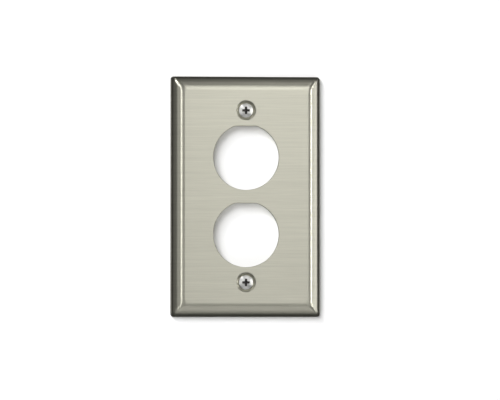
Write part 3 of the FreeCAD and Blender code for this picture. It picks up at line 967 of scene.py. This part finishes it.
WALL_Y = 0.0003
WALL_TOP = 0.9
WALL_SIDE = 0.9
FLOOR_Z = -0.5
FLOOR_SIDE = 1.5
FLOOR_FRONT = -1.8
FLOOR_BACK = 1.5
wall_board = stage_sheet(
    "wall_board",
    [
        (-WALL_SIDE, WALL_Y, FLOOR_Z),
        (WALL_SIDE, WALL_Y, FLOOR_Z),
        (WALL_SIDE, WALL_Y, WALL_TOP),
        (-WALL_SIDE, WALL_Y, WALL_TOP),
    ],
)
floor = stage_sheet(
    "floor",
    [
        (-FLOOR_SIDE, FLOOR_FRONT, FLOOR_Z),
        (FLOOR_SIDE, FLOOR_FRONT, FLOOR_Z),
        (FLOOR_SIDE, FLOOR_BACK, FLOOR_Z),
        (-FLOOR_SIDE, FLOOR_BACK, FLOOR_Z),
    ],
)


def stage_paint(name, shade, clear_behind):
    """Matt white that the steel mirrors as dark, so its edges show.

    With clear_behind it is see-through from behind, and lets the lamps behind it reach the plate.
    """
    material, nodes, links, shader = new_material(name)
    shader.inputs["Base Color"].default_value = (shade, shade, shade, 1)
    shader.inputs["Roughness"].default_value = 0.9
    dull = nodes.new("ShaderNodeBsdfDiffuse")
    dull.inputs["Color"].default_value = (0.03, 0.03, 0.03, 1)
    mirrored = nodes.new("ShaderNodeMixShader")
    links.new(nodes.new("ShaderNodeLightPath").outputs["Is Glossy Ray"], mirrored.inputs[0])
    links.new(shader.outputs[0], mirrored.inputs[1])
    links.new(dull.outputs[0], mirrored.inputs[2])
    surface = mirrored
    if clear_behind:
        surface = nodes.new("ShaderNodeMixShader")
        open_side = nodes.new("ShaderNodeMath")
        open_side.operation = "MAXIMUM"
        links.new(nodes.new("ShaderNodeNewGeometry").outputs["Backfacing"], open_side.inputs[0])
        links.new(nodes.new("ShaderNodeLightPath").outputs["Is Shadow Ray"], open_side.inputs[1])
        links.new(open_side.outputs[0], surface.inputs[0])
        links.new(mirrored.outputs[0], surface.inputs[1])
        links.new(nodes.new("ShaderNodeBsdfTransparent").outputs[0], surface.inputs[2])
    links.new(surface.outputs[0], nodes["Material Output"].inputs["Surface"])
    return material


wall_board.data.materials.append(stage_paint("wall_white", 0.93, clear_behind=True))
floor.data.materials.append(stage_paint("floor_white", 0.85, clear_behind=False))


def aimed(across, up):
    """The turn from straight in front of the plate to some degrees across to the right and up."""
    sideways = Matrix.Rotation(math.radians(across), 4, "Z")
    return sideways @ Matrix.Rotation(math.radians(-up), 4, "X")


def softbox(name, across, up, distance, width, height, brightness):
    """A rectangular lamp aimed at the plate, from degrees across to the right and degrees up."""
    light = bpy.data.lights.new(name, "AREA")
    light.shape = "RECTANGLE"
    light.size, light.size_y = width, height
    light.energy = brightness * math.pi * width * height
    lamp = bpy.data.objects.new(name, light)
    lamp.location = aimed(across, up) @ Vector((0, -distance, 0))
    lamp.rotation_euler = lamp.location.to_track_quat("Z", "Y").to_euler()
    scene.collection.objects.link(lamp)
    return lamp


# name, degrees across, degrees up, distance, width, height, brightness
lights_on_pieces = [
    softbox("key", -26, 32, 1.5, 0.18, 0.18, 22),
    softbox("front_left", 3.5, 6, 2.2, 0.3, 0.7, 1.45),
    softbox("front_right", 13, 6, 2.2, 0.36, 0.7, 1.2),
    softbox("front_high", 8.5, 21, 2.2, 0.7, 0.4, 3.05),
    softbox("right_strip", 36, 2, 1.4, 0.045, 0.9, 17),
    softbox("right_panel", 51, 2, 1.4, 0.34, 0.9, 1.5),
    softbox("right_fill", 22, 2, 1.6, 0.3, 0.9, 0.35),
    softbox("left_fill", -10, 2, 1.6, 0.25, 0.9, 0.5),
    softbox("left_line", -21, 2, 1.4, 0.045, 0.9, 9.5),
    softbox("left_panel", -33, 2, 1.4, 0.22, 0.9, 0.5),
    softbox("low_panel", 4.5, -36, 0.75, 0.5, 0.1, 2),
    softbox("left_side", -58, -3, 1.4, 0.9, 0.75, 0.12),
    softbox("right_side", 70, -3, 1.4, 0.6, 0.75, 0.09),
    softbox("back_left_side", -138, -6, 1.4, 0.8, 0.68, 2.2),
    softbox("back_right_side", 138, -6, 1.4, 0.8, 0.68, 2.2),
    softbox("back_left", 168, 15, 1.2, 0.5, 0.5, 6),
    softbox("back_right", 194, 28, 1.2, 0.5, 0.5, 6),
]
lights_on_wall = [
    softbox("wall_key", -20, 20, 1.5, 0.8, 0.8, 9),
    softbox("wall_side_key", -42, 38, 1.5, 0.5, 0.5, 13),
]
lights_on_floor = [
    softbox("floor_light", 0, 60, 1.8, 0.8, 0.8, 6),
    softbox("floor_behind", 180, 60, 1.8, 0.8, 0.8, 26),
]
stage = (wall_board, floor)
pieces = [thing for thing in scene.objects if thing.type == "MESH" and thing not in stage]
groups = [
    ("pieces_lit", pieces, lights_on_pieces),
    ("wall_lit", [wall_board], lights_on_wall),
    ("floor_lit", [floor], lights_on_floor),
]
for name, things, lamps in groups:
    receivers = bpy.data.collections.new(name)
    for thing in things:
        receivers.objects.link(thing)
    for lamp in lamps:
        lamp.light_linking.receiver_collection = receivers

# The room is pale to look at, past the stage's edges, but adds only a little light.
ROOM_LIGHT = 0.055
ROOM_SEEN = 0.85
world = bpy.data.worlds.new("studio")
world.use_nodes = True
room_nodes, room_links = world.node_tree.nodes, world.node_tree.links
room = room_nodes["Background"]
room.inputs["Color"].default_value = (1, 1, 1, 1)
seen = room_nodes.new("ShaderNodeMapRange")
seen.inputs["To Min"].default_value = ROOM_LIGHT
seen.inputs["To Max"].default_value = ROOM_SEEN
path = room_nodes.new("ShaderNodeLightPath")
room_links.new(path.outputs["Is Camera Ray"], seen.inputs["Value"])
room_links.new(seen.outputs["Result"], room.inputs["Strength"])
scene.world = world

scene.view_settings.view_transform = "Standard"
scene.view_settings.look = "None"

# The camera stands a little to the left of the plate's axis and below it, and shows FRAME_WIDTH across.
FRAME_WIDTH = 0.242
SENSOR_MM = 36.0
CAMERA_DISTANCE = 1.6
CAMERA_ACROSS = -4.5
CAMERA_UP = -2.0
AIM_X = 0.0019
AIM_Z = -0.0018
camera_data = bpy.data.cameras.new("camera")
camera_data.sensor_width = SENSOR_MM
camera_data.lens = SENSOR_MM * CAMERA_DISTANCE / FRAME_WIDTH
camera = bpy.data.objects.new("camera", camera_data)
swing = aimed(CAMERA_ACROSS, CAMERA_UP)
camera.location = Vector((AIM_X, FACE_Y, AIM_Z)) + swing @ Vector((0, -CAMERA_DISTANCE, 0))
camera.rotation_euler = (math.radians(90 - CAMERA_UP), 0, math.radians(CAMERA_ACROSS))
scene.collection.objects.link(camera)
scene.camera = camera
